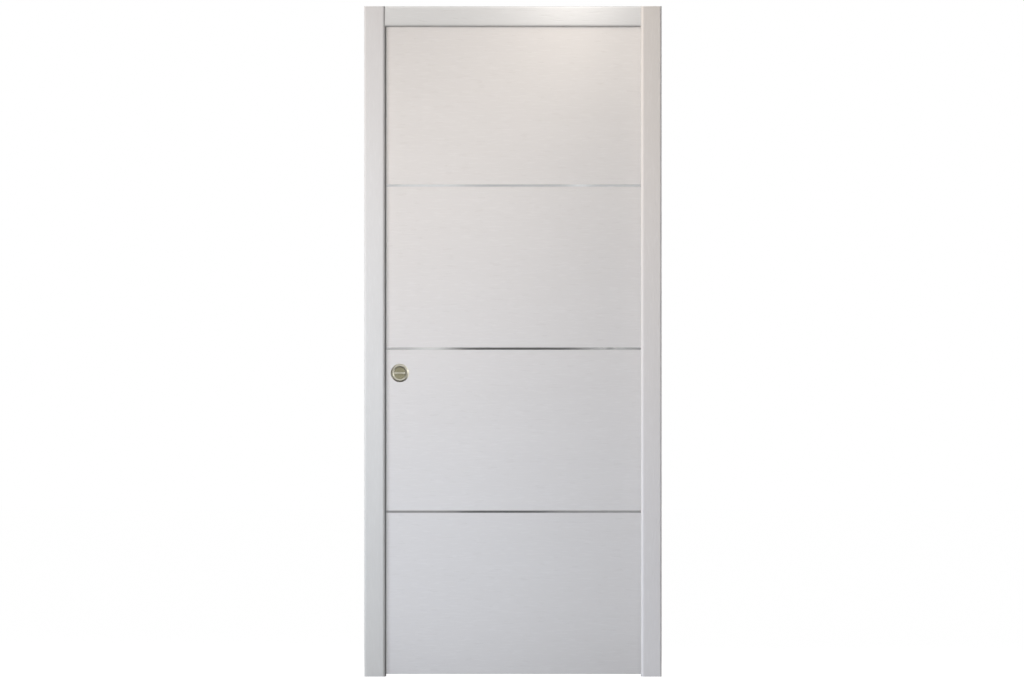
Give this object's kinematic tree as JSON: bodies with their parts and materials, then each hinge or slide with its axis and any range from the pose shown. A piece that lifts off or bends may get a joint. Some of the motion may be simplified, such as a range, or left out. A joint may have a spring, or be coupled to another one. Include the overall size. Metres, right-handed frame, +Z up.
{
  "type": "pocket door",
  "caption": "Flush pocket door in a flat cased frame: pale leaf with thin metal inlays and a round flush pull, hung from a top track to slide between split jambs.",
  "frame": {"origin": "on the back of the strike jamb, at floor level and halfway through the wall", "axes": "+X along the wall from the strike side to the pocket, -Y out of the door's front, +Z up"},
  "size_m": [0.9258, 0.148, 2.087],
  "materials": {
    "leaf_laminate": "pale grey-white laminate, fine horizontal embossed grain, satin",
    "frame_laminate": "pale grey-white laminate, fine embossed grain along each board, satin",
    "header_wood": "plain unfinished board",
    "inlay_aluminium": "brushed along its length",
    "track_aluminium": "extruded, natural",
    "pull_nickel": "warm satin nickel",
    "lock_steel": "satin nickel plated steel",
    "hanger_steel": "zinc plated steel",
    "wheel_nylon": "natural nylon",
    "stop_rubber": "black rubber",
    "seal_rubber": "dark grey soft rubber",
    "guide_nylon": "pale grey nylon"
  },
  "bodies": {
    "frame": {"strike_jamb": "frame_laminate", "split_jamb_front": "frame_laminate", "split_jamb_back": "frame_laminate", "head_jamb_front": "frame_laminate", "head_jamb_back": "frame_laminate", "casing_left_front": "frame_laminate", "casing_left_back": "frame_laminate", "casing_right_front": "frame_laminate", "casing_right_back": "frame_laminate", "casing_head_front": "frame_laminate", "casing_head_back": "frame_laminate", "header_board": "header_wood", "track": "track_aluminium", "closing_stop": "stop_rubber", "floor_guide": "guide_nylon", "strike_plate": "lock_steel", "closing_seal_front": "seal_rubber", "closing_seal_back": "seal_rubber"},
    "leaf": {"door_slab": "leaf_laminate", "inlay_top_front": "inlay_aluminium", "inlay_top_back": "inlay_aluminium", "inlay_middle_front": "inlay_aluminium", "inlay_middle_back": "inlay_aluminium", "inlay_bottom_front": "inlay_aluminium", "inlay_bottom_back": "inlay_aluminium", "flush_pull_front": "pull_nickel", "flush_pull_back": "pull_nickel", "lock_case": "lock_steel", "lock_face_plate": "lock_steel", "hook_bolt": "lock_steel", "hanger_plate_leading": "hanger_steel", "hanger_plate_trailing": "hanger_steel", "hanger_bolt_leading": "hanger_steel", "hanger_bolt_trailing": "hanger_steel", "trolley_leading": "hanger_steel", "trolley_trailing": "hanger_steel", "trolley_wheels_leading": "wheel_nylon", "trolley_wheels_trailing": "wheel_nylon"},
    "turn": {"thumb_turn": "pull_nickel", "release_disc": "pull_nickel"}
  },
  "joints": [
    {"name": "leaf_slide", "type": "slide", "parent": "frame", "child": "leaf", "axis": [1, 0, 0], "range_m": [0, 0.718]},
    {"name": "turn_hinge", "type": "hinge", "parent": "leaf", "child": "turn", "pos_m": [0.066, -0.02, 0.9451], "axis": [0, 1, 0], "range_deg": [0, 90]}
  ]
}
